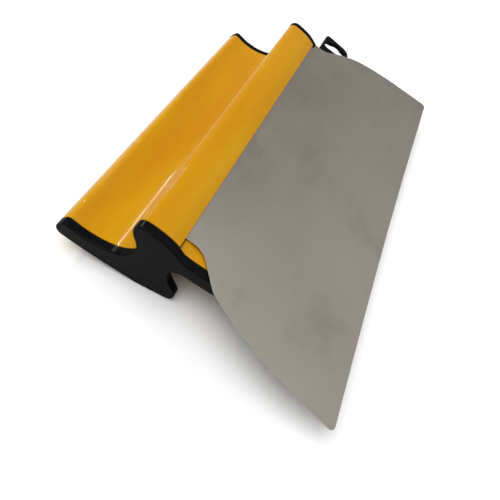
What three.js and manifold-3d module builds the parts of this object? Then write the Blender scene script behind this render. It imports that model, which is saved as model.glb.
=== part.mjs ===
// A wide smoothing spatula for plaster filler. Its hollow handle profile is narrower than the blade's edge.
// A moulded cap closes each end, and the right one carries a hanging tab.
// The thin steel blade sits in a slot under the ridge, where five screws press a clamp bar against it.
//
// Section frame, in millimetres: h runs forward from the tail to the blade, and z runs up.
// X runs along the handle. The whole assembly is pitched forward onto the flats under the cap toes.

import * as THREE from 'three';
import { mergeVertices } from 'three/addons/utils/BufferGeometryUtils.js';
import Module from 'manifold-3d';

const wasm = await Module();
wasm.setup();

// Handle
const HANDLE_LENGTH = 191;
const CAP_THICKNESS = 4.1;
const WORKING_GAP = 0.3;
const PROFILE_LENGTH = HANDLE_LENGTH - 2 * CAP_THICKNESS - 2 * WORKING_GAP;
const CAP_EDGE_ROUND = 0.7;
const PLUG_LENGTH = 12;
const PLUG_WALL = 1.6;
const CURVE_STEPS = 5;

// Section landmarks
const BASE_FRONT = { h: 41, z: 0 };
const TOE_FRONT = { h: 54.8, z: 2.55 };
const ARM_UNDERSIDE = 26.8;
const LIP_FRONT = 77.5;

// Blade, measured from the edge of the ridge where it leaves its slot
const SEAM = { h: 48.8, z: 36.6 };
const BLADE_SLOPE = THREE.MathUtils.degToRad(4.35);
const BLADE_THICKNESS = 0.4;
const BLADE_REACH = 90.8;
const BLADE_EDGE_HALF = 125.4;
const BLADE_ROOT_HALF = 90.5;
const BLADE_CORNER = 3;
const TANG_DEPTH = 10;
const TANG_HALF = 85.5;
const SHOULDER_BACK = 0.5;
const BLADE_OFFSET = 5.25;

// Clamp
const BAR_WIDTH = 8.8;
const BAR_THICKNESS = 3;
const BAR_LENGTH = 170;
const BAR_DROP = 1;
const CHANNEL_CLEARANCE = 0.4;
const SCREW_COUNT = 5;
const SCREW_SPACING = 38;
const SCREW_SETBACK = 2.5;
const SCREW_RADIUS = 2;
const SCREW_HEAD_RADIUS = 3.3;
const SCREW_HEAD_HEIGHT = 2.2;
const SOCKET_RADIUS = 1.45;
const SOCKET_DEPTH = 1.5;

// Hanging tab
const TAB_TOP = 33.6;
const TAB_THICKNESS = 2.2;
const TAB_REACH = 25.3;
const TAB_CENTRE = 62.6;
const TAB_HALF_WIDTH = 9.7;
const HANG_SLOT_HALF_LENGTH = 8.2;
const HANG_SLOT_RADIUS = 3.9;
const HANG_SLOT_X = 15.1;
const HANG_BULGE_RADIUS = 4.4;
const HANG_BULGE_X = 16.6;

const YELLOW = new THREE.MeshStandardMaterial({ color: 0xd8941c, roughness: 0.3, metalness: 0 });
const BLACK = new THREE.MeshStandardMaterial({ color: 0x232528, roughness: 0.5, metalness: 0 });
const STEEL = new THREE.MeshStandardMaterial({ color: 0xa8a195, roughness: 0.35, metalness: 1 });
const ZINC = new THREE.MeshStandardMaterial({ color: 0xb9bcc0, roughness: 0.4, metalness: 1 });

// ---------- helpers ----------

// A point of the blade's own frame: u forward from the seam, w up from the blade's upper face.
function bladePoint(u, w) {
  const cos = Math.cos(BLADE_SLOPE);
  const sin = Math.sin(BLADE_SLOPE);
  return [SEAM.h + u * cos + w * sin, SEAM.z - u * sin + w * cos];
}

const vectors = (points) => points.map(([h, z]) => new THREE.Vector2(h, z));

// Outlines run clockwise, so the holes in them run the other way.
const reversed = (corners) => [...corners].reverse();

// A closed path through straight sides, with each corner rounded by the same amount.
function roundedPath(corners, round, PathType = THREE.Path) {
  const path = new PathType();
  const points = vectors(corners);
  points.forEach((corner, i) => {
    const before = points[(i + points.length - 1) % points.length];
    const after = points[(i + 1) % points.length];
    const start = before.clone().sub(corner).setLength(round).add(corner);
    const end = after.clone().sub(corner).setLength(round).add(corner);
    if (i === 0) path.moveTo(start.x, start.y);
    else path.lineTo(start.x, start.y);
    path.quadraticCurveTo(corner.x, corner.y, end.x, end.y);
  });
  path.closePath();
  return path;
}

// The same corners moved inward by a distance, for a plug inside a chamber or its own hollow.
function insetCorners(corners, distance) {
  const points = vectors(corners);
  const turn = THREE.ShapeUtils.area(points) > 0 ? 1 : -1;
  return points.map((corner, i) => {
    const before = points[(i + points.length - 1) % points.length];
    const after = points[(i + 1) % points.length];
    const sideIn = corner.clone().sub(before).normalize();
    const sideOut = after.clone().sub(corner).normalize();
    const normalIn = new THREE.Vector2(-sideIn.y, sideIn.x).multiplyScalar(turn);
    const normalOut = new THREE.Vector2(-sideOut.y, sideOut.x).multiplyScalar(turn);
    const mitre = normalIn.add(normalOut);
    mitre.multiplyScalar((2 * distance) / mitre.lengthSq());
    return [corner.x + mitre.x, corner.y + mitre.y];
  });
}

// Turns a geometry drawn in the section frame (x = h, y = z, extruded along z) into the object's axes.
const SECTION_TO_OBJECT = new THREE.Matrix4().makeBasis(
  new THREE.Vector3(0, -1, 0),
  new THREE.Vector3(0, 0, 1),
  new THREE.Vector3(-1, 0, 0),
);

// Extrudes a section outline along the handle, from xLow to xHigh.
function alongHandle(shape, xLow, xHigh, bevel = {}) {
  const geometry = new THREE.ExtrudeGeometry(shape, {
    depth: xHigh - xLow,
    bevelEnabled: false,
    curveSegments: CURVE_STEPS,
    ...bevel,
  });
  return geometry.applyMatrix4(SECTION_TO_OBJECT).translate(xHigh, 0, 0);
}

function toSolid(geometry) {
  const bare = new THREE.BufferGeometry();
  bare.setAttribute('position', geometry.getAttribute('position').clone());
  if (geometry.index) bare.setIndex(geometry.index.clone());
  const merged = mergeVertices(bare, 1e-4);
  return new wasm.Manifold(new wasm.Mesh({
    numProp: 3,
    vertProperties: new Float32Array(merged.getAttribute('position').array),
    triVerts: new Uint32Array(merged.index.array),
  }));
}

function toGeometry(solid) {
  const mesh = solid.getMesh();
  const geometry = new THREE.BufferGeometry();
  geometry.setAttribute('position', new THREE.BufferAttribute(mesh.vertProperties, 3));
  geometry.setIndex(new THREE.BufferAttribute(mesh.triVerts, 1));
  geometry.computeVertexNormals();
  return geometry;
}

function namedMesh(name, geometry, material) {
  const mesh = new THREE.Mesh(geometry, material);
  mesh.name = name;
  return mesh;
}

// ---------- section outlines ----------

// From the middle of the base, round the tail, up the groove and over the ridge to its front edge.
function drawTailAndRidge(shape) {
  shape.moveTo(23, 0);
  shape.quadraticCurveTo(13, 0.2, 3.2, 1.5);
  shape.quadraticCurveTo(-0.3, 1.9, -0.4, 4.9);
  shape.splineThru(vectors([[-0.2, 6.6], [0.7, 8.7], [1.9, 10.2], [3.3, 10.8], [5, 10.7], [9.8, 9.8]]));
  shape.splineThru(vectors([[14, 9.4], [19.5, 10.2], [25, 11.7], [28.4, 13], [30.8, 14.6]]));
  shape.splineThru(vectors([[32.4, 16.9], [33.6, 19.6], [34.2, 22.6], [34.1, 25.4], [33.3, 28.6]]));
  shape.splineThru(vectors([[31.7, 31.4], [30.4, 33.8], [29.9, 35.9], [29.8, 37.4]]));
  shape.bezierCurveTo(30, 40.2, 31.6, 40.9, 34, 40.9);
  shape.splineThru(vectors([[38, 40.8], [42.5, 40.2], [46, 39], [SEAM.h, 37.75]]));
}

// From the top of the lip behind the blade, round its front and back along the arm's underside.
function drawLip(shape) {
  shape.lineTo(71.5, 34);
  shape.bezierCurveTo(75.5, 33.8, LIP_FRONT, 31.8, LIP_FRONT, 29.6);
  shape.lineTo(LIP_FRONT, 28.6);
  shape.quadraticCurveTo(LIP_FRONT, ARM_UNDERSIDE, 75.7, ARM_UNDERSIDE);
  shape.lineTo(57, ARM_UNDERSIDE);
}

function capOutline() {
  const shape = new THREE.Shape();
  drawTailAndRidge(shape);
  shape.splineThru(vectors([[50.4, 36.6], [52, 35.4], [54.5, 34.6]]));
  drawLip(shape);
  shape.bezierCurveTo(53.2, ARM_UNDERSIDE, 50.8, 24.2, 50.8, 20.4);
  shape.bezierCurveTo(50.8, 18.2, 52, 16.6, 53.4, 14.8);
  shape.lineTo(56.6, 11);
  shape.bezierCurveTo(58.4, 9, 59.2, 8, 58.7, 6.3);
  shape.quadraticCurveTo(57.7, 3.1, TOE_FRONT.h, TOE_FRONT.z);
  shape.lineTo(BASE_FRONT.h, BASE_FRONT.z);
  shape.closePath();
  return shape;
}

// Chambers inside the profile: under the palm, up the body, in the crest, and along the arm.
const TAIL_CHAMBER = [
  [1.7, 3.9], [1.7, 6.6], [3.3, 8.9], [14, 7.7], [20, 8.4], [26, 10.1], [30.2, 12], [30.2, 1.9], [22, 1.9],
];
const BODY_CHAMBER = [
  [32, 1.9], [32, 13.4], [34.4, 17], [35.8, 20.4], [36.1, 24.4], [39.2, 24.4], [39.2, 1.9],
];
const CREST_CHAMBER = [
  [36.7, 28.4], [35, 30.2], [33.2, 33], [31.8, 35.6], [31.7, 37.6], [33, 39], [36.7, 38.8],
];
const ARM_CHAMBER = [[54.2, 28.6], [54.2, 32.6], [71.4, 32.1], [75.2, 30.4], [75.2, 28.6]];
const CHAMBERS = [TAIL_CHAMBER, BODY_CHAMBER, CREST_CHAMBER, ARM_CHAMBER];

function profileOutline() {
  const slotCeiling = WORKING_GAP;
  const slotFloor = -BLADE_THICKNESS - WORKING_GAP;
  const slotBack = -TANG_DEPTH - CHANNEL_CLEARANCE;
  const channelBack = -BAR_WIDTH - CHANNEL_CLEARANCE;
  const channelFloor = slotFloor - BAR_THICKNESS - BAR_DROP - CHANNEL_CLEARANCE;
  const ridgeTipDrop = bladePoint(0, slotCeiling)[1];
  const shape = new THREE.Shape();
  drawTailAndRidge(shape);
  shape.lineTo(SEAM.h, ridgeTipDrop);
  shape.lineTo(...bladePoint(slotBack, slotCeiling));
  shape.lineTo(...bladePoint(slotBack, slotFloor));
  shape.lineTo(...bladePoint(channelBack, slotFloor));
  shape.lineTo(...bladePoint(channelBack, channelFloor));
  shape.lineTo(...bladePoint(CHANNEL_CLEARANCE, channelFloor));
  shape.lineTo(...bladePoint(CHANNEL_CLEARANCE, slotFloor - WORKING_GAP));
  shape.lineTo(...bladePoint(2, slotFloor - WORKING_GAP));
  shape.lineTo(54.5, 34.6);
  drawLip(shape);
  shape.lineTo(BASE_FRONT.h + 1.8, ARM_UNDERSIDE);
  shape.quadraticCurveTo(BASE_FRONT.h, ARM_UNDERSIDE, BASE_FRONT.h, ARM_UNDERSIDE - 1.8);
  shape.lineTo(BASE_FRONT.h, 2);
  shape.quadraticCurveTo(BASE_FRONT.h, BASE_FRONT.z, BASE_FRONT.h - 2, BASE_FRONT.z);
  shape.closePath();
  for (const chamber of CHAMBERS) {
    shape.holes.push(roundedPath(reversed(chamber), 0.7));
  }
  return shape;
}

// ---------- clamp screws ----------

const SCREW_H = SEAM.h - SCREW_SETBACK;
const screwX = (i) => (i - (SCREW_COUNT - 1) / 2) * SCREW_SPACING;

// A cylinder standing along Z, given its ends.
function upright(radius, zLow, zHigh, sides) {
  const geometry = new THREE.CylinderGeometry(radius, radius, zHigh - zLow, sides);
  return geometry.rotateX(Math.PI / 2).translate(0, 0, (zLow + zHigh) / 2);
}

function clampScrew() {
  const headTop = ARM_UNDERSIDE - WORKING_GAP;
  const headBottom = headTop - SCREW_HEAD_HEIGHT;
  const barUnderside = bladePoint(-SCREW_SETBACK, -BLADE_THICKNESS - WORKING_GAP - BAR_THICKNESS)[1];
  const tip = barUnderside - WORKING_GAP - SCREW_RADIUS * Math.tan(BLADE_SLOPE);
  const profile = new THREE.Path();
  profile.moveTo(0, headBottom);
  profile.lineTo(SCREW_HEAD_RADIUS * 0.62, headBottom);
  profile.quadraticCurveTo(SCREW_HEAD_RADIUS, headBottom, SCREW_HEAD_RADIUS, headTop - 0.6);
  profile.lineTo(SCREW_HEAD_RADIUS, headTop);
  profile.lineTo(SCREW_RADIUS, headTop);
  profile.lineTo(SCREW_RADIUS, tip - 0.5);
  profile.lineTo(SCREW_RADIUS - 0.5, tip);
  profile.lineTo(0, tip);
  const body = new THREE.LatheGeometry(profile.getPoints(4), 24).rotateX(Math.PI / 2);
  const socket = upright(SOCKET_RADIUS, headBottom - 1, headBottom + SOCKET_DEPTH, 6);
  return toGeometry(toSolid(body).subtract(toSolid(socket)));
}

// ---------- pieces ----------

function handleProfile() {
  let solid = toSolid(alongHandle(profileOutline(), -PROFILE_LENGTH / 2, PROFILE_LENGTH / 2));
  for (let i = 0; i < SCREW_COUNT; i += 1) {
    const hole = upright(SCREW_RADIUS + WORKING_GAP, ARM_UNDERSIDE - 1, SEAM.z - BAR_THICKNESS, 24);
    solid = solid.subtract(toSolid(hole.translate(screwX(i), -SCREW_H, 0)));
  }
  return toGeometry(solid);
}

// A stub that plugs a chamber. Only the palm's chamber is wide enough for a plug with a hollow.
function plug(chamber) {
  const shape = roundedPath(insetCorners(chamber, WORKING_GAP), 0.5, THREE.Shape);
  if (chamber === TAIL_CHAMBER) {
    const inside = insetCorners(chamber, WORKING_GAP + PLUG_WALL);
    shape.holes.push(roundedPath(reversed(inside), 0.3));
  }
  const inner = HANDLE_LENGTH / 2 - CAP_THICKNESS - PLUG_LENGTH;
  return toSolid(alongHandle(shape, inner, HANDLE_LENGTH / 2 - CAP_THICKNESS / 2));
}

// The right-hand cap: a plate with a softened outer rim, and a plug for each chamber of the profile.
function endCap() {
  const outer = HANDLE_LENGTH / 2;
  const plateInner = outer - CAP_THICKNESS;
  const rim = {
    bevelEnabled: true,
    bevelThickness: CAP_EDGE_ROUND,
    bevelSize: CAP_EDGE_ROUND,
    bevelOffset: -CAP_EDGE_ROUND,
    bevelSegments: 3,
  };
  const overlap = 2;
  const plate = alongHandle(capOutline(), plateInner - overlap, outer - CAP_EDGE_ROUND, rim);
  const trim = new THREE.BoxGeometry(20, 200, 100).translate(plateInner - 10, -40, 20);
  const trimmed = toSolid(plate).subtract(toSolid(trim));
  return CHAMBERS.reduce((solid, chamber) => solid.add(plug(chamber)), trimmed);
}

// A flat tab that carries the lip outward past the cap, with a slot that widens round its middle.
function hangTab() {
  const start = HANDLE_LENGTH / 2 - CAP_THICKNESS / 2;
  const end = HANDLE_LENGTH / 2 + TAB_REACH;
  const rear = TAB_CENTRE - TAB_HALF_WIDTH;
  const front = TAB_CENTRE + TAB_HALF_WIDTH;
  const shape = new THREE.Shape();
  shape.moveTo(start, -rear);
  shape.lineTo(end - 3, -rear - 0.2);
  shape.quadraticCurveTo(end + 0.2, -rear - 0.3, end, -rear - 3);
  shape.lineTo(end - 2.4, -front + 4.5);
  shape.quadraticCurveTo(end - 3.6, -front + 0.2, end - 8, -front);
  shape.lineTo(start, -front);
  shape.closePath();
  const slot = new THREE.Path();
  const slotX = HANDLE_LENGTH / 2 + HANG_SLOT_X;
  const armLength = HANG_SLOT_HALF_LENGTH - HANG_SLOT_RADIUS;
  slot.absarc(slotX, -TAB_CENTRE + armLength, HANG_SLOT_RADIUS, 0, Math.PI, false);
  slot.absarc(slotX, -TAB_CENTRE - armLength, HANG_SLOT_RADIUS, Math.PI, 2 * Math.PI, false);
  slot.closePath();
  shape.holes.push(slot);
  const plate = new THREE.ExtrudeGeometry(shape, {
    depth: TAB_THICKNESS,
    bevelEnabled: false,
    curveSegments: 10,
  }).translate(0, 0, TAB_TOP - TAB_THICKNESS);
  const bulge = upright(HANG_BULGE_RADIUS, TAB_TOP - TAB_THICKNESS - 1, TAB_TOP + 1, 32);
  bulge.translate(HANDLE_LENGTH / 2 + HANG_BULGE_X, -TAB_CENTRE, 0);
  return toSolid(plate).subtract(toSolid(bulge));
}

// The notch under the ridge's front edge that lets the blade's shoulder pass over the cap.
function bladeNotch() {
  const reach = 10;
  const shape = new THREE.Shape(vectors([
    bladePoint(-SHOULDER_BACK - WORKING_GAP, WORKING_GAP),
    bladePoint(reach, WORKING_GAP),
    bladePoint(reach, -BLADE_THICKNESS - WORKING_GAP),
    bladePoint(-SHOULDER_BACK - WORKING_GAP, -BLADE_THICKNESS - WORKING_GAP),
  ]));
  return toSolid(alongHandle(shape, 0, HANDLE_LENGTH));
}

function rightEndCap() {
  return toGeometry(endCap().add(hangTab()).subtract(bladeNotch()));
}

function leftEndCap() {
  return toGeometry(endCap().mirror([1, 0, 0]));
}

function clampBar() {
  const top = -BLADE_THICKNESS - WORKING_GAP;
  const bottom = top - BAR_THICKNESS;
  const corners = [[-BAR_WIDTH, top], [0, top], [0, bottom], [-BAR_WIDTH, bottom]];
  const shape = roundedPath(corners.map(([u, w]) => bladePoint(u, w)), 0.5, THREE.Shape);
  return alongHandle(shape, -BAR_LENGTH / 2, BAR_LENGTH / 2);
}

// One flank of the blade, from the shoulder to the working edge. side is 1 or -1.
function drawFlank(shape, side) {
  const flank = [
    [BLADE_ROOT_HALF, 8.2, 94.5, 11, 98.5, 15.2],
    [110, 27, 119.5, 46, BLADE_EDGE_HALF - 0.2, BLADE_REACH - BLADE_CORNER],
  ];
  shape.lineTo(side * BLADE_ROOT_HALF, 4.2);
  for (const [x1, v1, x2, v2, x3, v3] of flank) {
    shape.bezierCurveTo(side * x1, v1, side * x2, v2, side * x3, v3);
  }
  shape.quadraticCurveTo(
    side * BLADE_EDGE_HALF,
    BLADE_REACH,
    side * (BLADE_EDGE_HALF - BLADE_CORNER),
    BLADE_REACH,
  );
}

function blade() {
  const half = new THREE.Shape();
  half.moveTo(0, -TANG_DEPTH);
  half.lineTo(TANG_HALF, -TANG_DEPTH);
  half.lineTo(TANG_HALF, -SHOULDER_BACK);
  half.lineTo(BLADE_ROOT_HALF, -SHOULDER_BACK);
  drawFlank(half, 1);
  const right = half.getPoints(8);
  const left = right.slice(1).reverse().map((point) => new THREE.Vector2(-point.x, point.y));
  const geometry = new THREE.ExtrudeGeometry(new THREE.Shape([...right, ...left]), {
    depth: BLADE_THICKNESS,
    bevelEnabled: false,
  });
  // The outline's second axis points forward, so the sheet is turned over onto the slot's plane.
  return geometry
    .rotateX(Math.PI)
    .rotateX(BLADE_SLOPE)
    .translate(BLADE_OFFSET, -SEAM.h, SEAM.z);
}

// ---------- assembly ----------

const handleFrame = new THREE.Group();
handleFrame.add(namedMesh('handle_profile', handleProfile(), YELLOW));
handleFrame.add(namedMesh('left_end_cap', leftEndCap(), BLACK));
handleFrame.add(namedMesh('right_end_cap', rightEndCap(), BLACK));
handleFrame.add(namedMesh('blade', blade(), STEEL));
handleFrame.add(namedMesh('clamp_bar', clampBar(), ZINC));
for (let i = 0; i < SCREW_COUNT; i += 1) {
  const screw = namedMesh(`clamp_screw_${i + 1}`, clampScrew(), ZINC);
  screw.position.set(screwX(i), -SCREW_H, 0);
  handleFrame.add(screw);
}

// Pitch the handle forward until the flats under the toes lie level.
handleFrame.rotation.x = Math.atan2(TOE_FRONT.z - BASE_FRONT.z, TOE_FRONT.h - BASE_FRONT.h);
handleFrame.updateMatrixWorld(true);

// The origin is the middle of the object's box, at the height of the surface that it stands on.
const box = new THREE.Box3().setFromObject(handleFrame, true);
const middle = box.getCenter(new THREE.Vector3());
handleFrame.position.set(-middle.x, -middle.y, -box.min.z);

const spatula = new THREE.Group();
spatula.add(handleFrame);
spatula.updateMatrixWorld(true);

export default spatula;
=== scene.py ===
# %% [markdown]
# # A wide smoothing spatula
# This lesson builds the looks of a plaster spatula round its working model. The handle is taken to
# be a hollow aluminium extrusion, painted, with a moulded cap pushed into each end and a thin steel
# blade clamped under its ridge. Blender could redo the whole tool, but the working model already
# holds every size and every joint, so it is loaded first and each new piece is fitted to it.

# %% Load the working model
import bmesh
import bpy
import math
import random
from mathutils import Matrix, Vector


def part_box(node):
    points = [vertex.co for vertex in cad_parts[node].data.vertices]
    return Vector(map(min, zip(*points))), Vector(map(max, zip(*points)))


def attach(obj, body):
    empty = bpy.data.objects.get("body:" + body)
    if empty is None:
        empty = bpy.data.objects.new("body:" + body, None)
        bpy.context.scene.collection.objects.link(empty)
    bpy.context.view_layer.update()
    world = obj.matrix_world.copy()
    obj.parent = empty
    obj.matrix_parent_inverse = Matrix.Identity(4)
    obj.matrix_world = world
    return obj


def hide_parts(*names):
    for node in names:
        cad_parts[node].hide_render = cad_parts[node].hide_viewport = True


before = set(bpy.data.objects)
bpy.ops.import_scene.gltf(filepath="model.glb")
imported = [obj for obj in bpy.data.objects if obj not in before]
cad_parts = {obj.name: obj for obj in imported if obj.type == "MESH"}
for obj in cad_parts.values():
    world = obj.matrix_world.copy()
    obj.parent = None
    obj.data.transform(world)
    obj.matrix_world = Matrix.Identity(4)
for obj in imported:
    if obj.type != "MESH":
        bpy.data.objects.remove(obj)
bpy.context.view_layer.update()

random.seed(11)

# %% [markdown]
# # The camera
# The tool is seen from above its left-hand end, and the camera is rolled so that the handle
# climbs across the picture. A camera could be aimed by a tracking constraint, but a constraint
# can't roll it. Three turns in a fixed order are easier to read: lift, heading, then roll.

# %% Camera
CAMERA_PLACE = Vector((-0.19986, -0.01128, 0.18956))
CAMERA_HEADING = math.radians(1.42)
CAMERA_DIP = math.radians(52.51)
CAMERA_ROLL = math.radians(25.97)
CAMERA_LENS = 33.85
NEAREST_SEEN = 0.01

camera_data = bpy.data.cameras.new("studio_camera")
camera_data.lens = CAMERA_LENS
camera_data.clip_start = NEAREST_SEEN
camera = bpy.data.objects.new("studio_camera", camera_data)
bpy.context.scene.collection.objects.link(camera)
quarter_turn = math.pi / 2
camera.matrix_world = (
    Matrix.Translation(CAMERA_PLACE)
    @ Matrix.Rotation(CAMERA_HEADING - quarter_turn, 4, "Z")
    @ Matrix.Rotation(quarter_turn - CAMERA_DIP, 4, "X")
    @ Matrix.Rotation(CAMERA_ROLL, 4, "Z")
)
bpy.context.scene.camera = camera
bpy.context.scene.view_settings.view_transform = "Standard"
print("camera looks along", [round(-c, 3) for c in camera.matrix_world.col[2][:3]])

# %% [markdown]
# # Floor and light
# Glossy paint shows whatever lights it. A single lamp would leave one hard spot, and a sky
# picture would need a file. Here a dim pale surround fills the shadows, one large soft panel
# lights the top, a weaker one in front lifts the blade, and one thin tube draws the bright line
# that runs along the handle.

# %% Floor
FLOOR_HALF = 6.0


def node_material(name):
    """A new material with its shader, ready for more nodes."""
    material = bpy.data.materials.new(name)
    material.use_nodes = True
    shader = material.node_tree.nodes["Principled BSDF"]
    return material, material.node_tree, shader


floor_material, _, floor_shader = node_material("studio_floor")
floor_shader.inputs["Base Color"].default_value = (0.9, 0.9, 0.9, 1)
floor_shader.inputs["Roughness"].default_value = 0.9
floor_shader.inputs["Specular IOR Level"].default_value = 0.1

floor_shape = bmesh.new()
bmesh.ops.create_grid(floor_shape, x_segments=1, y_segments=1, size=FLOOR_HALF)
floor_mesh = bpy.data.meshes.new("studio_floor")
floor_shape.to_mesh(floor_mesh)
floor_shape.free()
floor_mesh.materials.append(floor_material)
floor = bpy.data.objects.new("studio_floor", floor_mesh)
bpy.context.scene.collection.objects.link(floor)

# %% Lights
SURROUND_STRENGTH = 0.5

world = bpy.data.worlds.new("pale_surround")
world.use_nodes = True
world.node_tree.nodes["Background"].inputs["Color"].default_value = (1, 1, 1, 1)
world.node_tree.nodes["Background"].inputs["Strength"].default_value = SURROUND_STRENGTH
bpy.context.scene.world = world


def area_light(name, place, aim, size, power, colour=(1, 1, 1)):
    """A rectangular lamp at place, facing aim. Its long side stays level."""
    lamp = bpy.data.lights.new(name, "AREA")
    lamp.shape = "RECTANGLE"
    lamp.size, lamp.size_y = size
    lamp.energy = power
    lamp.color = colour
    thing = bpy.data.objects.new(name, lamp)
    thing.location = place
    thing.rotation_euler = (Vector(aim) - Vector(place)).to_track_quat("-Z", "Y").to_euler()
    bpy.context.scene.collection.objects.link(thing)


area_light("soft_panel", (-0.25, 0.25, 1.4), (-0.25, 0, 0), (1.4, 1.4), 19)
area_light("tube_lamp", (0.495, 0.64, 0.545), (0.495, 0.04, 0.015), (0.29, 0.014), 2.6, (1, 0.93, 0.66))
area_light("front_panel", (0.5, -0.9, 0.9), (0, -0.05, 0.03), (1.2, 1.2), 1.9)

# %% [markdown]
# # The handle's own frame
# The designers drew the handle by its cross-section: h runs forward from the tail, z runs up, and
# the section is pushed along X. On the bench the tool rests on flats under its toes, so that
# section leans forward. The lean could be measured off the model, but two landmarks of the
# section give it exactly: the front of the base and the front of the toe.

# %% Frame of the section
MM = 0.001
BASE_FRONT = (41.0, 0.0)
TOE_FRONT = (54.8, 2.55)
TAIL_OVERHANG = 0.471
LEAN = math.atan2(TOE_FRONT[1] - BASE_FRONT[1], TOE_FRONT[0] - BASE_FRONT[0])

left_cap_low, left_cap_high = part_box("left_end_cap")
profile_low, profile_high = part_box("handle_profile")
handle_middle = (profile_low.x + profile_high.x) / 2
section_place = Vector((
    handle_middle,
    left_cap_high.y + TAIL_OVERHANG * MM,
    BASE_FRONT[0] * MM * math.sin(LEAN),
))
SECTION_FRAME = Matrix.Translation(section_place) @ Matrix.Rotation(LEAN, 4, "X")


def in_section(x, h, z):
    """A point of the section, in millimetres, as a place before the lean."""
    return Vector((x * MM, -h * MM, z * MM))


print("lean, degrees:", round(math.degrees(LEAN), 2))

# %% [markdown]
# # Drawing an outline
# A die-cut section is straight stretches joined by arcs. It could be drawn with Bezier handles,
# but then each arc needs two handles of the right length. A polygon whose corners are rounded
# one by one is closer to how a die drawing is dimensioned: a corner, and how far back its
# rounding starts. The vertex bevel does exactly that.

# %% Outline helpers
ARC_STEP = 0.45
FEWEST_ARC_STEPS = 4
MOST_ARC_STEPS = 16
MERGE_DISTANCE = 0.00001


def round_corner(bm, vert, setback, arc_steps):
    """Rounds one corner of a flat face. A setback of nothing leaves it sharp."""
    if setback:
        bmesh.ops.bevel(
            bm,
            geom=[vert],
            affect="VERTICES",
            offset=setback * MM,
            segments=arc_steps,
            profile=0.5,
            material=-1,
        )


def draw_outline(bm, corners, x):
    """A face across the handle at x. Each corner is (h, z, how far back its rounding starts)."""
    others = set(bm.faces)
    verts = [bm.verts.new(in_section(x, h, z)) for h, z, _ in corners]
    bm.faces.new(verts)
    for vert, (_, _, setback) in zip(verts, corners):
        arc_steps = round(2 * setback / ARC_STEP)
        round_corner(bm, vert, setback, max(FEWEST_ARC_STEPS, min(MOST_ARC_STEPS, arc_steps)))
    return next(f for f in bm.faces if f not in others)


def push(bm, faces, x=0, z=0):
    """Pushes faces along the handle or upwards, and closes the solid between."""
    pushed = bmesh.ops.extrude_face_region(bm, geom=faces)["geom"]
    moved = [v for v in pushed if isinstance(v, bmesh.types.BMVert)]
    bmesh.ops.translate(bm, verts=moved, vec=(x * MM, 0, z * MM))
    bmesh.ops.recalc_face_normals(bm, faces=bm.faces)
    return [f for f in pushed if isinstance(f, bmesh.types.BMFace)]


def finish_piece(name, bm, material, sharp_degrees=32, frame_matrix=SECTION_FRAME):
    """Turns a bmesh into a shown object, leaned into place, with its hard edges kept hard."""
    bmesh.ops.remove_doubles(bm, verts=bm.verts, dist=MERGE_DISTANCE)
    bmesh.ops.transform(bm, matrix=frame_matrix, verts=bm.verts)
    bmesh.ops.recalc_face_normals(bm, faces=bm.faces)
    mesh = bpy.data.meshes.new(name)
    bm.to_mesh(mesh)
    bm.free()
    mesh.materials.append(material)
    mesh.shade_smooth()
    mesh.set_sharp_from_angle(angle=math.radians(sharp_degrees))
    piece = bpy.data.objects.new(name, mesh)
    bpy.context.scene.collection.objects.link(piece)
    flats_first = piece.modifiers.new("flats_stay_flat", "WEIGHTED_NORMAL")
    flats_first.keep_sharp = True
    flats_first.weight = 80
    print(name, "faces:", len(mesh.polygons))
    return piece


def loose_solid(bm, name):
    """A plain object that holds a bmesh for cutting or joining."""
    bmesh.ops.remove_doubles(bm, verts=bm.verts, dist=MERGE_DISTANCE)
    bmesh.ops.recalc_face_normals(bm, faces=bm.faces)
    mesh = bpy.data.meshes.new(name)
    bm.to_mesh(mesh)
    bm.free()
    solid = bpy.data.objects.new(name, mesh)
    bpy.context.scene.collection.objects.link(solid)
    return solid


def combine(bm, tool, operation):
    """Joins or cuts a bmesh with another, exactly, and gives back a bmesh."""
    base_solid = loose_solid(bm, "work_base")
    tool_solid = loose_solid(tool, "work_tool")
    cut = base_solid.modifiers.new("combine", "BOOLEAN")
    cut.operation = operation
    cut.solver = "MANIFOLD"
    cut.object = tool_solid
    evaluated = base_solid.evaluated_get(bpy.context.evaluated_depsgraph_get())
    result = bmesh.new()
    result.from_mesh(evaluated.to_mesh())
    evaluated.to_mesh_clear()
    for solid in (base_solid, tool_solid):
        mesh = solid.data
        bpy.data.objects.remove(solid)
        bpy.data.meshes.remove(mesh)
    return result


# %% [markdown]
# # Finishes: what they share
# Every finish here is made of nodes. Pictures of paint or steel would also work, but they would
# have to be wrapped round each piece, and they blur up close. Noise on Object coordinates stays
# put on the piece, and its scale can be said in real millimetres.

# %% Node helpers


def object_noise(tree, scale, detail=4.0, roughness=0.5, stretch=(1, 1, 1)):
    """Noise on the piece's own coordinates. stretch squeezes it along an axis."""
    place = tree.nodes.new("ShaderNodeTexCoord")
    mapping = tree.nodes.new("ShaderNodeMapping")
    mapping.inputs["Scale"].default_value = stretch
    noise = tree.nodes.new("ShaderNodeTexNoise")
    noise.inputs["Scale"].default_value = scale
    noise.inputs["Detail"].default_value = detail
    noise.inputs["Roughness"].default_value = roughness
    tree.links.new(place.outputs["Object"], mapping.inputs["Vector"])
    tree.links.new(mapping.outputs["Vector"], noise.inputs["Vector"])
    return noise.outputs["Fac"]


def remap(tree, value, low, high, to_low, to_high):
    """Stretches a grey value from low..high to to_low..to_high."""
    node = tree.nodes.new("ShaderNodeMapRange")
    node.inputs["From Min"].default_value = low
    node.inputs["From Max"].default_value = high
    node.inputs["To Min"].default_value = to_low
    node.inputs["To Max"].default_value = to_high
    tree.links.new(value, node.inputs["Value"])
    return node.outputs["Result"]


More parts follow.
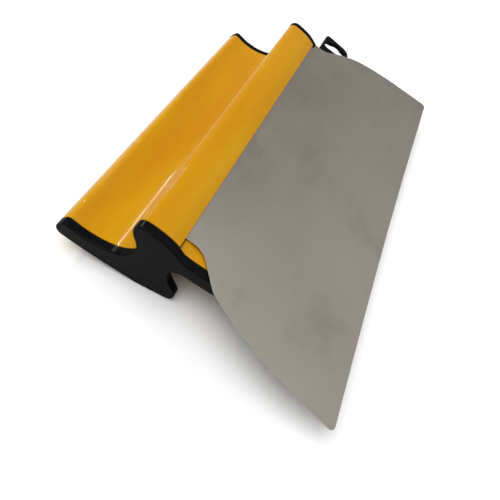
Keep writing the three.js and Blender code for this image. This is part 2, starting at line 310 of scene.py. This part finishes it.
def two_tone(tree, value, first, second, low=0.35, high=0.65):
    """A colour that goes from first to second as a grey value goes from low to high."""
    ramp = tree.nodes.new("ShaderNodeValToRGB")
    ramp.color_ramp.elements[0].position = low
    ramp.color_ramp.elements[0].color = (*first, 1)
    ramp.color_ramp.elements[1].position = high
    ramp.color_ramp.elements[1].color = (*second, 1)
    tree.links.new(value, ramp.inputs["Fac"])
    return ramp.outputs["Color"]


def blend_colours(tree, factor, first, second, mode="MIX"):
    """Mixes two colour outputs by a grey value."""
    mix = tree.nodes.new("ShaderNodeMix")
    mix.data_type = "RGBA"
    mix.blend_type = mode
    tree.links.new(factor, mix.inputs["Factor"])
    tree.links.new(first, mix.inputs[6])
    tree.links.new(second, mix.inputs[7])
    return mix.outputs[2]


def bump(tree, shader, height, distance, strength):
    """Raises the surface by a grey value, distance metres at most."""
    node = tree.nodes.new("ShaderNodeBump")
    node.inputs["Distance"].default_value = distance
    node.inputs["Strength"].default_value = strength
    tree.links.new(height, node.inputs["Height"])
    tree.links.new(node.outputs["Normal"], shader.inputs["Normal"])


# %% [markdown]
# # Yellow powder coat
# The handle is sprayed with paint powder and baked. It comes out glossy but not quite flat: up
# close it has the faint swell of orange peel, and the layer is a shade deeper where it is
# thicker. A single orange with low roughness would look like plastic film, so the colour, the
# roughness and the surface each get their own slow noise, under a thin clear coat.

# %% Powder coat material


def powder_coat():
    material, tree, shader = node_material("yellow_powder_coat")
    thickness = object_noise(tree, 55, detail=3, stretch=(0.2, 1, 1))
    colour = two_tone(tree, thickness, (0.475, 0.203, 0.0020), (0.512, 0.254, 0.0026))
    tree.links.new(colour, shader.inputs["Base Color"])
    gloss = object_noise(tree, 140, detail=2)
    tree.links.new(remap(tree, gloss, 0.3, 0.7, 0.2, 0.3), shader.inputs["Roughness"])
    peel = object_noise(tree, 620, detail=1.5)
    bump(tree, shader, peel, 0.00004, 0.2)
    shader.inputs["Specular IOR Level"].default_value = 0.03
    shader.inputs["Coat Weight"].default_value = 0.25
    shader.inputs["Coat IOR"].default_value = 1.4
    shader.inputs["Coat Roughness"].default_value = 0.01
    return material


# %% [markdown]
# # Black moulding
# The caps are taken to be injection-moulded nylon with a fine texture. It scatters light softly,
# so a lamp shows on a curve as a grey glow and not as a line. A single roughness would be either
# dull or shiny; a dull body under a thin satin skin gives both the deep black and the glow.

# %% Moulding material


def black_moulding():
    material, tree, shader = node_material("black_satin_nylon")
    flow = object_noise(tree, 45, detail=4)
    colour = two_tone(tree, flow, (0.0020, 0.0023, 0.0030), (0.0038, 0.0042, 0.0052))
    tree.links.new(colour, shader.inputs["Base Color"])
    patches = object_noise(tree, 220, detail=3)
    tree.links.new(remap(tree, patches, 0.3, 0.7, 0.40, 0.50), shader.inputs["Roughness"])
    grain = object_noise(tree, 2600, detail=2)
    bump(tree, shader, grain, 0.00003, 0.25)
    shader.inputs["Specular IOR Level"].default_value = 0.0
    shader.inputs["Coat Weight"].default_value = 0.22
    shader.inputs["Coat IOR"].default_value = 1.32
    shader.inputs["Coat Roughness"].default_value = 0.16
    return material


# %% [markdown]
# # Blade steel
# The blade is taken to be rolled stainless spring steel with a satin face. It carries the fine
# lines of the rolls, clouds where it was wiped, and small darker smudges from handling. An image
# would give real smudges, but noises at several scales tell the same story and never repeat.

# %% Blade steel material


def blade_steel():
    material, tree, shader = node_material("satin_blade_steel")
    clouds = object_noise(tree, 16, detail=5, roughness=0.55)
    base = two_tone(tree, clouds, (0.330, 0.297, 0.252), (0.366, 0.331, 0.283))
    smudges = object_noise(tree, 34, detail=6, roughness=0.65)
    smudge_tone = two_tone(tree, smudges, (0.89, 0.885, 0.875), (1, 1, 1), low=0.30, high=0.44)
    full = tree.nodes.new("ShaderNodeValue")
    full.outputs[0].default_value = 1.0
    tinted = blend_colours(tree, full.outputs[0], base, smudge_tone, "MULTIPLY")
    tree.links.new(tinted, shader.inputs["Base Color"])
    rolling = object_noise(tree, 900, detail=3, stretch=(0.03, 1, 1))
    sheen = object_noise(tree, 24, detail=4)
    rough = tree.nodes.new("ShaderNodeMath")
    rough.operation = "ADD"
    tree.links.new(remap(tree, sheen, 0.3, 0.7, 0.34, 0.44), rough.inputs[0])
    tree.links.new(remap(tree, rolling, 0.3, 0.7, -0.03, 0.03), rough.inputs[1])
    tree.links.new(rough.outputs[0], shader.inputs["Roughness"])
    bump(tree, shader, rolling, 0.00001, 0.12)
    shader.inputs["Metallic"].default_value = 1.0
    return material


# %% [markdown]
# # Zinc plate
# The clamp bar and its screws are hidden, and are taken to be steel with a bright zinc plate:
# bluish, slightly cloudy, and duller in patches. The same recipe as the blade would read as one
# metal, so this one is lighter, bluer and has a pattern of small crystals.

# %% Zinc plate material


def zinc_plate():
    material, tree, shader = node_material("bright_zinc_plate")
    crystals = object_noise(tree, 420, detail=3)
    colour = two_tone(tree, crystals, (0.50, 0.52, 0.55), (0.62, 0.63, 0.64))
    tree.links.new(colour, shader.inputs["Base Color"])
    dull = object_noise(tree, 160, detail=4)
    tree.links.new(remap(tree, dull, 0.3, 0.7, 0.26, 0.42), shader.inputs["Roughness"])
    bump(tree, shader, crystals, 0.00001, 0.3)
    shader.inputs["Metallic"].default_value = 1.0
    return material


YELLOW = powder_coat()
BLACK = black_moulding()
STEEL = blade_steel()
ZINC = zinc_plate()
print("finishes:", [m.name for m in (YELLOW, BLACK, STEEL, ZINC)])

# %% [markdown]
# # The section's shared stretches
# The painted profile and the black caps share most of their outline: the tail that fills the
# palm, the hollow in front of it, and the ridge that the fingers wrap. Each is written once.
# A lofted or sculpted handle would hide how it is made; a section says it in one line a corner.

# %% Shared stretches of the section
SEAM = (48.8, 36.6)
RIDGE_NOSE = (48.8, 37.75)
ARM_UNDERSIDE = 26.8

TAIL_AND_RIDGE = [
    (13, 0.2, 9.5),
    (-0.3, 1.85, 3.3),
    (-0.5, 6.5, 1.6),
    (2.7, 11.45, 1.8),
    (13.9, 8.95, 6.5),
    (27.6, 12.1, 4.5),
    (34.5, 19.2, 3.4),
    (34.4, 26.6, 2.9),
    (29.9, 34.4, 2.2),
    (29.9, 41.1, 4.3),
    (39.2, 40.9, 4.4),
    (45.2, 39.4, 2.2),
]

LIP = [
    (77.5, 33.8, 5.4),
    (77.5, ARM_UNDERSIDE, 1.8),
]

# Chambers inside the profile: under the palm, up the body, in the crest, and along the arm.
TAIL_CHAMBER = [
    (1.7, 3.9), (1.7, 6.6), (3.3, 8.9), (14, 7.7), (20, 8.4), (26, 10.1), (30.2, 12), (30.2, 1.9),
    (22, 1.9),
]
BODY_CHAMBER = [(32, 1.9), (32, 13.4), (34.4, 17), (35.8, 20.4), (36.1, 24.4), (39.2, 24.4), (39.2, 1.9)]
CREST_CHAMBER = [(36.7, 28.4), (35, 30.2), (33.2, 33), (31.8, 35.6), (31.7, 37.6), (33, 39), (36.7, 38.8)]
ARM_CHAMBER = [(54.2, 28.6), (54.2, 32.6), (71.4, 32.1), (75.2, 30.4), (75.2, 28.6)]
CHAMBERS = [TAIL_CHAMBER, BODY_CHAMBER, CREST_CHAMBER, ARM_CHAMBER]
CHAMBER_ROUND = 0.7


def rounded(corners, setback):
    """The same corners, each rounded by one amount."""
    return [(h, z, setback) for h, z in corners]


# %% [markdown]
# # The blade's slot
# The blade leaves the ridge at a shallow slope. Points round it are easiest to say in the
# blade's own two directions, u forward from the seam and w up from its top face, so one small
# function turns them into the section's h and z.

# %% The blade's two directions
BLADE_SLOPE = math.radians(4.35)
BLADE_THICKNESS = 0.4
GAP = 0.3
BAR_THICKNESS = 3.0


def from_seam(u, w):
    """(h, z) of a point u forward from the seam and w above the blade's top face."""
    cos, sin = math.cos(BLADE_SLOPE), math.sin(BLADE_SLOPE)
    return SEAM[0] + u * cos + w * sin, SEAM[1] - u * sin + w * cos


# %% [markdown]
# # The painted profile
# The handle is one extrusion: a skin about 1.8 mm thick round four chambers, with a slot for
# the blade and a channel for the clamp bar. It could be a solid bar with its ends
# hidden by the caps, but a cap pulls off, and then the chambers show. So the outline and its
# four holes are filled together, and the filled face is pushed along the whole length.

# %% Outline of the profile
SLOT_BACK = -10.4
CHANNEL_BACK = -9.2
CHANNEL_FLOOR = -5.1
CHANNEL_FRONT = 0.4
SLOT_FLOOR = -BLADE_THICKNESS - GAP
SILL = SLOT_FLOOR - GAP

profile_corners = TAIL_AND_RIDGE + [
    (*RIDGE_NOSE, 0.35),
    (SEAM[0], from_seam(0, GAP)[1], 0.2),
    (*from_seam(SLOT_BACK, GAP), 0),
    (*from_seam(SLOT_BACK, SLOT_FLOOR), 0),
    (*from_seam(CHANNEL_BACK, SLOT_FLOOR), 0),
    (*from_seam(CHANNEL_BACK, CHANNEL_FLOOR), 0.3),
    (*from_seam(CHANNEL_FRONT, CHANNEL_FLOOR), 0.3),
    (*from_seam(CHANNEL_FRONT, SILL), 0.2),
    (*from_seam(2, SILL), 0.3),
    (54.5, 34.6, 1.5),
    *LIP,
    (BASE_FRONT[0], ARM_UNDERSIDE, 1.8),
    (*BASE_FRONT, 2),
]

# %% Fill the section and push it along the handle
half_profile = (profile_high.x - profile_low.x) / 2 / MM


def section_with_holes(outline, holes, x):
    """A bmesh of one flat section, its holes left open."""
    bm = bmesh.new()
    for corners in [outline, *holes]:
        draw_outline(bm, corners, x)
    edges = list(bm.edges)
    bmesh.ops.delete(bm, geom=list(bm.faces), context="FACES_KEEP_BOUNDARY")
    bmesh.ops.triangle_fill(bm, edges=edges, use_beauty=True, normal=(1, 0, 0))
    return bm


chambers = [rounded(corners, CHAMBER_ROUND) for corners in CHAMBERS]
profile_shape = section_with_holes(profile_corners, chambers, -half_profile)
push(profile_shape, list(profile_shape.faces), x=2 * half_profile)
print("profile section edges:", len(profile_shape.edges))

# %% [markdown]
# # Screw holes
# Five screws come up through the arm to press the clamp bar. The holes could be left out, since
# each screw head hides its own, but a screw that backs off would then pass through paint.
# One row of plain cylinders cuts them all at once.

# %% Cut the screw holes
SCREW_COUNT = 5
SCREW_SPACING = 38.0
SCREW_SETBACK = 2.5
SCREW_RADIUS = 2.0
SCREW_H = SEAM[0] - SCREW_SETBACK
HOLE_LOW, HOLE_HIGH = ARM_UNDERSIDE - 1, SEAM[1] - BAR_THICKNESS
screw_places = [(i - (SCREW_COUNT - 1) / 2) * SCREW_SPACING for i in range(SCREW_COUNT)]

drills = bmesh.new()
for x in screw_places:
    bmesh.ops.create_cone(
        drills,
        cap_ends=True,
        segments=40,
        radius1=(SCREW_RADIUS + GAP) * MM,
        radius2=(SCREW_RADIUS + GAP) * MM,
        depth=(HOLE_HIGH - HOLE_LOW) * MM,
        matrix=Matrix.Translation(in_section(x, SCREW_H, (HOLE_LOW + HOLE_HIGH) / 2)),
    )
profile_shape = combine(profile_shape, drills, "DIFFERENCE")
handle_extrusion = finish_piece("handle_extrusion", profile_shape, YELLOW)
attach(handle_extrusion, "handle")
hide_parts("handle_profile")

# %% [markdown]
# # The end caps
# Each cap is a 4 mm plate with the handle's outline, a toe that the tool stands on, and a
# softened outer rim. Plugs behind it push into the chambers. The rim could come from a
# bevel modifier on the whole cap, but that would soften the inner edge too, where the cap has
# to meet the paint without a gap. So only the edges round the outer face are bevelled.

# %% Outline of a cap
CAP_RIM = 0.75

cap_corners = TAIL_AND_RIDGE + [
    (49.4, 37.5, 2.0),
    (52.4, 35.2, 1.7),
    (56.5, 34.55, 1.6),
    *LIP,
    (50.8, ARM_UNDERSIDE, 6.2),
    (50.9, 17.8, 3.2),
    (59.3, 8.2, 3.2),
    (57.7, 3.1, 2.6),
    (*TOE_FRONT, 0),
    (*BASE_FRONT, 0),
]

# %% Plate with a softened rim
half_handle = (handle_middle - left_cap_low.x) / MM
cap_inner = half_profile + GAP


def cap_plate():
    """The right-hand cap's plate, softened round its outer face."""
    bm = bmesh.new()
    face = draw_outline(bm, cap_corners, cap_inner)
    outer_face = push(bm, [face], x=half_handle - cap_inner)[0]
    bmesh.ops.bevel(
        bm,
        geom=list(outer_face.edges),
        affect="EDGES",
        offset=CAP_RIM * MM,
        segments=5,
        profile=0.5,
        material=-1,
    )
    return bm


# %% [markdown]
# # Plugs
# A plug fits a chamber with a little room round it, and the palm's plug is hollow to save plastic.
# Offsetting its outline by arithmetic would mean intersecting lines; the inset operator does the
# same on the face itself. The first inset leaves the clearance and the second leaves the wall.

# %% Rings that fit the chambers
PLUG_LENGTH = 12.0
PLUG_WALL = 1.6
PLUG_CLEARANCE = 0.35
PLUG_ROOT = 0.8


def inset_ring(bm, face, width):
    """Insets a face, and gives back the ring of faces round it."""
    return bmesh.ops.inset_region(
        bm,
        faces=[face],
        thickness=width * MM,
        use_boundary=True,
        use_even_offset=True,
    )["faces"]


def plug(chamber):
    """One plug, from inside the plate to its tip. Only the palm's chamber has room for a hollow one."""
    bm = bmesh.new()
    face = draw_outline(bm, rounded(chamber, CHAMBER_ROUND), cap_inner - PLUG_LENGTH)
    bmesh.ops.delete(bm, geom=inset_ring(bm, face, PLUG_CLEARANCE), context="FACES")
    if chamber is TAIL_CHAMBER:
        wall = inset_ring(bm, next(iter(bm.faces)), PLUG_WALL)
        bmesh.ops.delete(bm, geom=[f for f in bm.faces if f not in wall], context="FACES")
    push(bm, list(bm.faces), x=PLUG_LENGTH + PLUG_ROOT)
    return bm


def end_cap():
    """The right-hand cap without its tab."""
    bm = cap_plate()
    for chamber in CHAMBERS:
        bm = combine(bm, plug(chamber), "UNION")
    return bm


left_shape = end_cap()
bmesh.ops.scale(left_shape, vec=(-1, 1, 1), verts=left_shape.verts)
left_cap = finish_piece("left_cap_moulding", left_shape, BLACK)
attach(left_cap, "left_cap")
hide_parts("left_end_cap")

# %% [markdown]
# # The hanging tab
# The right-hand cap carries a flat tab with a keyhole slot, so that the tool can hang on a peg.
# The tab is a flat outline pushed up into a plate, and a boolean cuts the slot out of it with a
# stadium and a disc.

# %% Tab and slot
TAB_TOP = 33.6
TAB_THICKNESS = 2.2
TAB_REACH = 25.3
TAB_MIDDLE = 62.6
TAB_HALF_WIDTH = 9.7
SLOT_X = 15.1
SLOT_HALF_LENGTH = 8.2
SLOT_RADIUS = 3.9
BULGE_X = 16.6
BULGE_RADIUS = 4.4
TAB_EDGE = 0.4
TAB_OVERLAP = 1.0
CUTTER_MARGIN = 1.0
DISC_MARGIN = 1.2
FLAT_ARC_STEPS = 10

tab_end = half_handle + TAB_REACH
tab_rear = TAB_MIDDLE - TAB_HALF_WIDTH
tab_front = TAB_MIDDLE + TAB_HALF_WIDTH
tab_corners = [
    (cap_inner + TAB_OVERLAP, tab_rear, 0),
    (tab_end, tab_rear + 0.25, 3.0),
    (tab_end - 3, tab_front, 5.5),
    (cap_inner + TAB_OVERLAP, tab_front, 0),
]


def flat_outline(bm, corners, z):
    """A level face from (x, h, rounding) corners."""
    verts = [bm.verts.new(in_section(x, h, z)) for x, h, _ in corners]
    bm.faces.new(verts)
    for vert, (_, _, setback) in zip(verts, corners):
        round_corner(bm, vert, setback, FLAT_ARC_STEPS)


def hang_tab():
    """The tab as a plain plate, before its slot is cut and its edges are softened."""
    bm = bmesh.new()
    flat_outline(bm, tab_corners, TAB_TOP - TAB_THICKNESS)
    push(bm, list(bm.faces), z=TAB_THICKNESS)
    return bm


def slot_cutter():
    """A stadium and a disc, one over the other, tall enough to cut the tab."""
    bm = bmesh.new()
    slot_x = half_handle + SLOT_X
    slot_round = SLOT_RADIUS * 0.98
    corners = [
        (slot_x - SLOT_RADIUS, TAB_MIDDLE - SLOT_HALF_LENGTH, slot_round),
        (slot_x + SLOT_RADIUS, TAB_MIDDLE - SLOT_HALF_LENGTH, slot_round),
        (slot_x + SLOT_RADIUS, TAB_MIDDLE + SLOT_HALF_LENGTH, slot_round),
        (slot_x - SLOT_RADIUS, TAB_MIDDLE + SLOT_HALF_LENGTH, slot_round),
    ]
    flat_outline(bm, corners, TAB_TOP - TAB_THICKNESS - CUTTER_MARGIN)
    push(bm, list(bm.faces), z=TAB_THICKNESS + 2 * CUTTER_MARGIN)
    disc = bmesh.new()
    bmesh.ops.create_cone(
        disc,
        cap_ends=True,
        segments=56,
        radius1=BULGE_RADIUS * MM,
        radius2=BULGE_RADIUS * MM,
        depth=(TAB_THICKNESS + 2 * DISC_MARGIN) * MM,
        matrix=Matrix.Translation(
            in_section(half_handle + BULGE_X, TAB_MIDDLE, TAB_TOP - TAB_THICKNESS / 2)
        ),
    )
    return combine(bm, disc, "UNION")


def soften(bm, amount, steepest=50):
    """Bevels the hard edges of a plate, and leaves its smooth curves alone."""
    hard = [
        e for e in bm.edges
        if len(e.link_faces) == 2 and e.calc_face_angle() > math.radians(steepest)
    ]
    bmesh.ops.bevel(
        bm,
        geom=hard,
        affect="EDGES",
        offset=amount * MM,
        segments=3,
        profile=0.5,
        material=-1,
        clamp_overlap=True,
    )
    return bm


# %% [markdown]
# # The notch for the blade
# The blade sits a little towards the tab, so its shoulder passes over the right-hand cap. The
# cap has a shallow notch there. One slab on the blade's plane cuts it.

# %% Right-hand cap
NOTCH_BACK = -0.8
NOTCH_FRONT = 10.0


def blade_notch():
    """A thin slab along the blade's plane, with a gap above and below the sheet."""
    bm = bmesh.new()
    corners = [
        (*from_seam(NOTCH_BACK, GAP), 0),
        (*from_seam(NOTCH_FRONT, GAP), 0),
        (*from_seam(NOTCH_FRONT, SLOT_FLOOR), 0),
        (*from_seam(NOTCH_BACK, SLOT_FLOOR), 0),
    ]
    face = draw_outline(bm, corners, 0)
    push(bm, [face], x=2 * half_handle)
    return bm


tab_shape = soften(combine(hang_tab(), slot_cutter(), "DIFFERENCE"), TAB_EDGE)
right_shape = combine(end_cap(), tab_shape, "UNION")
right_shape = combine(right_shape, blade_notch(), "DIFFERENCE")
right_cap = finish_piece("right_cap_moulding", right_shape, BLACK)
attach(right_cap, "right_cap")
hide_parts("right_end_cap")

# %% [markdown]
# # The blade
# A spring-steel sheet 0.4 mm thick: narrow where it enters the slot, then flaring in a long
# curve to a working edge a quarter of a metre wide. On the bench it is never dead flat, and the
# middle of this one hangs a couple of millimetres low. A flat plate could be bent by a modifier,
# but a modifier bends both ways. Slicing the sheet into a fine grid and lowering each point by a
# smooth rule gives the sag and nothing else.

# %% Outline of the sheet
BLADE_REACH = 90.8
BLADE_EDGE_HALF = 125.6
BLADE_ROOT_HALF = 90.5
TANG_HALF = 85.5
TANG_DEPTH = 10.0
SHOULDER_BACK = 0.5

half_blade = [
    (TANG_HALF, -TANG_DEPTH, 0.6),
    (TANG_HALF, -SHOULDER_BACK, 0),
    (BLADE_ROOT_HALF, -SHOULDER_BACK, 0.3),
    (BLADE_ROOT_HALF, 8.8, 4.2),
    (103.6, 19.9, 12.0),
    (116.2, 42.6, 24.0),
    (BLADE_EDGE_HALF, BLADE_REACH, 3.0),
]
blade_middle = sum(corner.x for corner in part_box("blade")) / 2
blade_shift = (blade_middle - handle_middle) / MM

# %% Cut the sheet into a fine grid
GRID_STEP = 6.0
SLIVER = 0.25
SAG = 2.0
SAG_POWER = 1.6


def slice_along(bm, axis, positions):
    """Cuts every face by planes at these places along one axis."""
    normal = Vector((0, 0, 0))
    normal[axis] = 1
    for place in positions:
        point = normal * place * MM
        geometry = list(bm.verts) + list(bm.edges) + list(bm.faces)
        bmesh.ops.bisect_plane(bm, geom=geometry, plane_co=point, plane_no=normal)


def steps(low, high, step):
    """Evenly spaced places between low and high."""
    count = int((high - low) / step)
    return [low + step * (i + 0.5) for i in range(count)]


def blade_sheet():
    """The blade's top face, flat, u forward as -Y, drawn about its own middle."""
    bm = bmesh.new()
    mirrored = [(-x, v, setback) for x, v, setback in reversed(half_blade)]
    flat_outline(bm, half_blade + mirrored, 0)
    slice_along(bm, 0, steps(-BLADE_EDGE_HALF, BLADE_EDGE_HALF, GRID_STEP))
    slice_along(bm, 1, steps(-BLADE_REACH, TANG_DEPTH, GRID_STEP))
    bmesh.ops.remove_doubles(bm, verts=bm.verts, dist=SLIVER * MM)
    return bm


def sag_at(x, forward):
    """How far the sheet hangs: most in the middle of the working edge, none at the seam."""
    across = math.cos(0.5 * math.pi * min(1, abs(x) / (BLADE_EDGE_HALF * MM)))
    along = max(0, forward / (BLADE_REACH * MM)) ** SAG_POWER
    return SAG * MM * across * along


blade_shape = blade_sheet()
for vert in blade_shape.verts:
    vert.co.z -= sag_at(vert.co.x, -vert.co.y)
print("blade grid faces:", len(blade_shape.faces))

# %% Thickness, worn edges and place
EDGE_WEAR = 0.09

push(blade_shape, list(blade_shape.faces), z=-BLADE_THICKNESS)
soften(blade_shape, EDGE_WEAR)
seam_h, seam_z = SEAM
blade_frame = (
    SECTION_FRAME
    @ Matrix.Translation(in_section(blade_shift, seam_h, seam_z))
    @ Matrix.Rotation(BLADE_SLOPE, 4, "X")
)
blade = finish_piece("spring_steel_blade", blade_shape, STEEL, 40, blade_frame)
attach(blade, "blade")
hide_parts("blade")

# %% [markdown]
# # The clamp bar
# A flat bar, 170 mm long, lies under the blade's tang. It is cut from drawn strip, so its long
# edges are rounded and its ends are sawn square with a small break. A scaled cube would have the
# size but not the edges; bevelling the long edges first and the ends after keeps both right.

# %% Clamp bar
BAR_WIDTH = 8.8
BAR_HALF = 85.0
BAR_EDGE = 0.6
BAR_END_BREAK = 0.25

bar_shape = bmesh.new()
bar_corners = [
    (*from_seam(-BAR_WIDTH, SLOT_FLOOR), BAR_EDGE),
    (*from_seam(0, SLOT_FLOOR), BAR_EDGE),
    (*from_seam(0, SLOT_FLOOR - BAR_THICKNESS), BAR_EDGE),
    (*from_seam(-BAR_WIDTH, SLOT_FLOOR - BAR_THICKNESS), BAR_EDGE),
]
bar_end = draw_outline(bar_shape, bar_corners, -BAR_HALF)
push(bar_shape, [bar_end], x=2 * BAR_HALF)
soften(bar_shape, BAR_END_BREAK, 80)
clamp_bar = finish_piece("drawn_clamp_bar", bar_shape, ZINC)
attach(clamp_bar, "clamp_bar")
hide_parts("clamp_bar")

# %% [markdown]
# # The clamp screws
# Five button-head screws with hexagon sockets press the bar. Each is turned on a lathe, so its
# half-profile is drawn once and spun round the screw's axis. Threads could be modelled, but they
# are inside the arm, where nobody can see them, so the shank shows only a few turned grooves.

# %% One turned screw
HEAD_RADIUS = 3.3
HEAD_HEIGHT = 2.2
SOCKET_RADIUS = 1.45
SOCKET_DEPTH = 1.5
HEAD_TOP = ARM_UNDERSIDE - GAP
HEAD_BOTTOM = HEAD_TOP - HEAD_HEIGHT
SPIN_STEPS = 48
THREAD_PITCH = 0.7
THREAD_DEPTH = 0.2

bar_under_z = from_seam(-SCREW_SETBACK, SLOT_FLOOR - BAR_THICKNESS)[1]
screw_tip = bar_under_z - GAP - SCREW_RADIUS * math.tan(BLADE_SLOPE)


def screw_half_profile():
    """(radius, z) points from the head's underside face up the shank to the tip."""
    points = [
        (0, HEAD_BOTTOM),
        (2.0, HEAD_BOTTOM),
        (2.7, HEAD_BOTTOM + 0.25),
        (3.1, HEAD_BOTTOM + 0.75),
        (HEAD_RADIUS, HEAD_BOTTOM + 1.4),
        (HEAD_RADIUS, HEAD_TOP - 0.1),
        (HEAD_RADIUS - 0.1, HEAD_TOP),
        (SCREW_RADIUS, HEAD_TOP),
    ]
    z = HEAD_TOP + 1
    while z + THREAD_PITCH < screw_tip - 0.6:
        points += [(SCREW_RADIUS, z), (SCREW_RADIUS - THREAD_DEPTH, z + THREAD_PITCH / 2)]
        z += THREAD_PITCH
    return points + [(SCREW_RADIUS, screw_tip - 0.6), (SCREW_RADIUS - 0.6, screw_tip), (0, screw_tip)]


def turned_screw():
    """The screw on its own axis, with its socket cut."""
    bm = bmesh.new()
    verts = [bm.verts.new((r * MM, 0, z * MM)) for r, z in screw_half_profile()]
    edges = [bm.edges.new(pair) for pair in zip(verts, verts[1:])]
    bmesh.ops.spin(
        bm,
        geom=verts + edges,
        cent=(0, 0, 0),
        axis=(0, 0, 1),
        angle=2 * math.pi,
        steps=SPIN_STEPS,
        use_merge=True,
    )
    socket = bmesh.new()
    bmesh.ops.create_cone(
        socket,
        cap_ends=True,
        segments=6,
        radius1=SOCKET_RADIUS * MM,
        radius2=SOCKET_RADIUS * MM,
        depth=(SOCKET_DEPTH + 1) * MM,
        matrix=Matrix.Translation((0, 0, (HEAD_BOTTOM + (SOCKET_DEPTH - 1) / 2) * MM)),
    )
    return combine(bm, socket, "DIFFERENCE")


# %% Place the five screws
screw_shape = turned_screw()
for number, x in enumerate(screw_places, start=1):
    copy = screw_shape.copy()
    bmesh.ops.rotate(
        copy,
        verts=copy.verts,
        cent=(0, 0, 0),
        matrix=Matrix.Rotation(random.uniform(0, math.pi / 3), 3, "Z"),
    )
    bmesh.ops.translate(copy, verts=copy.verts, vec=in_section(x, SCREW_H, 0))
    screw = finish_piece(f"button_screw_{number}", copy, ZINC)
    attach(screw, f"clamp_screw_{number}")
    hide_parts(f"clamp_screw_{number}")
screw_shape.free()
